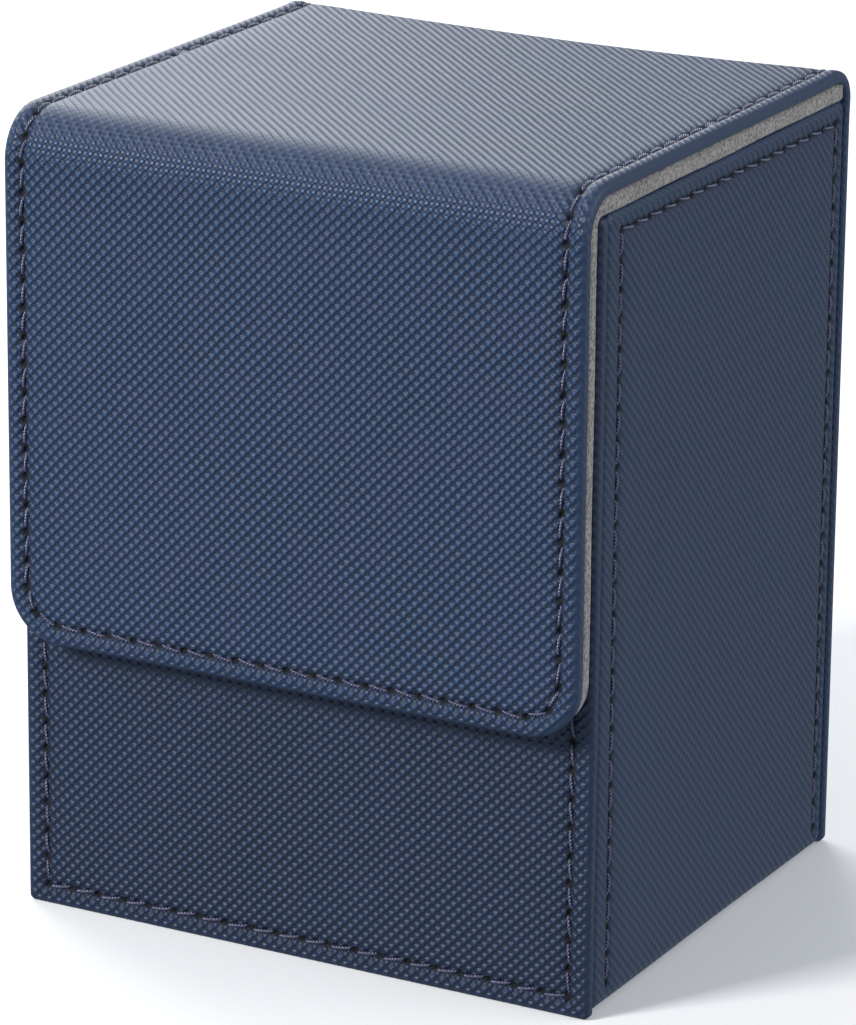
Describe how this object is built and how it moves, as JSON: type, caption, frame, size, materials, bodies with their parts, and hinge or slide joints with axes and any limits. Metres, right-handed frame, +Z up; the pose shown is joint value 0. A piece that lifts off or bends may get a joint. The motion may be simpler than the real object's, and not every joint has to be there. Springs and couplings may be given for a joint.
{
  "type": "card deck box",
  "caption": "Upright deck box for sleeved trading cards, with a one-piece cover that hinges at the back and folds over the front as a magnetic flap.",
  "frame": {"origin": "centre of the footprint, flap included, on the surface the box stands on", "axes": "+Z up, -Y towards the flap and front, +X to the right seen from the front"},
  "size_m": [0.08, 0.074, 0.1044],
  "materials": {
    "navy_leather": "embossed diamond grain, semi-matt",
    "grey_board": "raw grey board",
    "grey_microfibre": "brushed nap",
    "lilac_thread": "twisted thread",
    "magnet_steel": "plated"
  },
  "bodies": {
    "box": {"back_board": "grey_board", "back_leather": "navy_leather", "back_lining": "grey_microfibre", "back_stitches": "lilac_thread", "bottom_board": "grey_board", "bottom_leather": "navy_leather", "bottom_lining": "grey_microfibre", "front_board": "grey_board", "front_leather": "navy_leather", "front_lining": "grey_microfibre", "front_magnets": "magnet_steel", "front_stitches": "lilac_thread", "left_board": "grey_board", "left_leather": "navy_leather", "left_lining": "grey_microfibre", "left_stitches": "lilac_thread", "right_board": "grey_board", "right_leather": "navy_leather", "right_lining": "grey_microfibre", "right_stitches": "lilac_thread"},
    "lid": {"lid_board": "grey_board", "lid_leather": "navy_leather", "lid_lining": "grey_microfibre", "lid_stitches": "lilac_thread"},
    "flap": {"flap_board": "grey_board", "flap_leather": "navy_leather", "flap_lining": "grey_microfibre", "flap_magnets": "magnet_steel", "flap_stitches": "lilac_thread"}
  },
  "joints": [
    {"name": "lid_hinge", "type": "hinge", "parent": "box", "child": "lid", "pos_m": [0, 0.03579, 0.10319], "axis": [-1, 0, 0], "range_deg": [0, 180]},
    {"name": "flap_hinge", "type": "hinge", "parent": "lid", "child": "flap", "pos_m": [0, -0.0352, 0.1026], "axis": [-1, 0, 0], "range_deg": [0, 180]}
  ]
}
